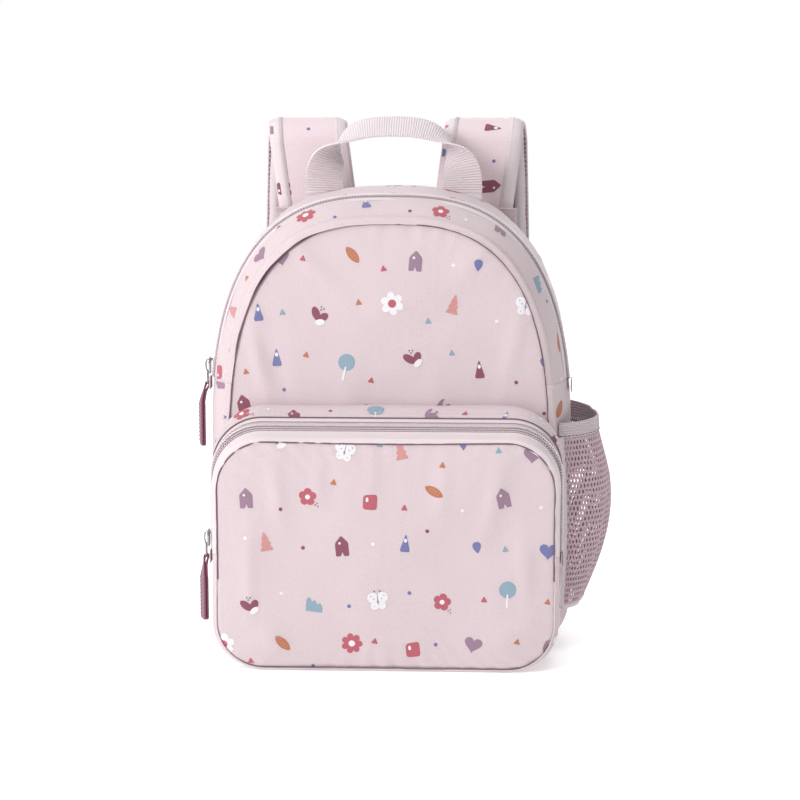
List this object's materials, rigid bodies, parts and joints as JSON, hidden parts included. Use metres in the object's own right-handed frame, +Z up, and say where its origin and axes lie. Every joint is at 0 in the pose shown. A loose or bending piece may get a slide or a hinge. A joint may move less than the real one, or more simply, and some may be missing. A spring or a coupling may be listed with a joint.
{
  "type": "school backpack",
  "caption": "Small arched school backpack with a main zip, a zipped front pocket, a mesh bottle pocket, padded straps and a carry handle.",
  "frame": {"origin": "on the floor, under the middle of the main compartment", "axes": "+X to the right seen from the front, -Y out of the front pocket, +Z up"},
  "size_m": [0.2682, 0.1755, 0.3447],
  "materials": {
    "printed_fabric": "coated polyester with a small scattered print, soft sheen",
    "zip_tape": "woven tape, matte",
    "zip_coil": "nylon coil, satin",
    "webbing": "ribbed webbing, matte",
    "binding": "woven edge binding with stitching",
    "spacer_mesh": "knitted spacer mesh, matte",
    "net": "open knitted net",
    "elastic": "ribbed elastic binding",
    "lining": "thin plain-weave lining",
    "pull": "smooth imitation leather, dull sheen",
    "nickel": "nickel-plated, polished",
    "buckle": "moulded acetal, satin"
  },
  "bodies": {
    "bag": {"base_panel": "printed_fabric", "side_gusset_left": "printed_fabric", "side_gusset_right": "printed_fabric", "gusset_rear": "printed_fabric", "front_panel_lower": "printed_fabric", "back_panel": "printed_fabric", "back_foam": "lining", "back_pads": "spacer_mesh", "strap_yoke": "printed_fabric", "zip_tape_rear": "zip_tape", "zip_coil_rear": "zip_coil", "zip_end_patches": "zip_tape", "pocket_base": "printed_fabric", "pocket_side_left": "printed_fabric", "pocket_side_right": "printed_fabric", "pocket_gusset_rear": "printed_fabric", "pocket_panel_lower": "printed_fabric", "pocket_tape_rear": "zip_tape", "pocket_coil_rear": "zip_coil", "pocket_end_patches": "zip_tape", "mesh_pocket": "net", "mesh_elastic": "elastic", "anchor_tab_left": "printed_fabric", "anchor_tab_right": "printed_fabric"},
    "main_flap": {"front_panel_upper": "printed_fabric", "gusset_front": "printed_fabric", "zip_tape_front": "zip_tape", "zip_coil_front": "zip_coil"},
    "main_slider": {"main_slider": "nickel"},
    "main_pull": {"main_pull_ring": "nickel", "main_pull": "pull"},
    "pocket_flap": {"pocket_panel_upper": "printed_fabric", "pocket_tape_front": "zip_tape", "pocket_coil_front": "zip_coil"},
    "pocket_slider": {"pocket_slider": "nickel"},
    "pocket_pull": {"pocket_pull_ring": "nickel", "pocket_pull": "pull"},
    "carry_handle": {"carry_handle": "webbing"},
    "strap_left": {"strap_cover_left": "printed_fabric", "strap_mesh_left": "spacer_mesh", "strap_binding_left": "binding", "ladder_lock_left": "buckle"},
    "web_left": {"strap_web_left": "webbing"},
    "strap_right": {"strap_cover_right": "printed_fabric", "strap_mesh_right": "spacer_mesh", "strap_binding_right": "binding", "ladder_lock_right": "buckle"},
    "web_right": {"strap_web_right": "webbing"}
  },
  "joints": [
    {"name": "main_flap_fold", "type": "hinge", "parent": "bag", "child": "main_flap", "pos_m": [0, -0.0473, 0.17], "axis": [1, 0, 0], "range_deg": [0, 50]},
    {"name": "main_slider_slide", "type": "slide", "parent": "bag", "child": "main_slider", "axis": [0.1231, 0, 0.9924], "range_m": [0, 0.012]},
    {"name": "main_pull_swing", "type": "hinge", "parent": "main_slider", "child": "main_pull", "pos_m": [-0.11945, -0.02, 0.182], "axis": [0, 1, 0], "range_deg": [0, 140]},
    {"name": "pocket_flap_fold", "type": "hinge", "parent": "bag", "child": "pocket_flap", "pos_m": [0, -0.0903, 0.072], "axis": [1, 0, 0], "range_deg": [0, 55]},
    {"name": "pocket_slider_slide", "type": "slide", "parent": "bag", "child": "pocket_slider", "axis": [0, 0, 1], "range_m": [0, 0.025]},
    {"name": "pocket_pull_swing", "type": "hinge", "parent": "pocket_slider", "child": "pocket_pull", "pos_m": [-0.11485, -0.075, 0.079], "axis": [0, 1, 0], "range_deg": [0, 150]},
    {"name": "carry_handle_fold", "type": "hinge", "parent": "bag", "child": "carry_handle", "pos_m": [0, 0.027, 0.298], "axis": [1, 0, 0], "range_deg": [0, 45]},
    {"name": "strap_left_swing", "type": "hinge", "parent": "bag", "child": "strap_left", "pos_m": [-0.05, 0.0515, 0.284], "axis": [1, 0, 0], "range_deg": [0, 12]},
    {"name": "web_left_swing", "type": "hinge", "parent": "bag", "child": "web_left", "pos_m": [-0.084, 0.058, 0.022], "axis": [1, 0, 0], "range_deg": [-23.5, 0]},
    {"name": "strap_right_swing", "type": "hinge", "parent": "bag", "child": "strap_right", "pos_m": [0.05, 0.0515, 0.284], "axis": [1, 0, 0], "range_deg": [0, 12]},
    {"name": "web_right_swing", "type": "hinge", "parent": "bag", "child": "web_right", "pos_m": [0.084, 0.058, 0.022], "axis": [1, 0, 0], "range_deg": [-23.5, 0]}
  ],
  "couplings": [
    {"joint": "web_left_swing", "follows": "strap_left_swing", "ratio": -1.94},
    {"joint": "web_right_swing", "follows": "strap_right_swing", "ratio": -1.94}
  ]
}
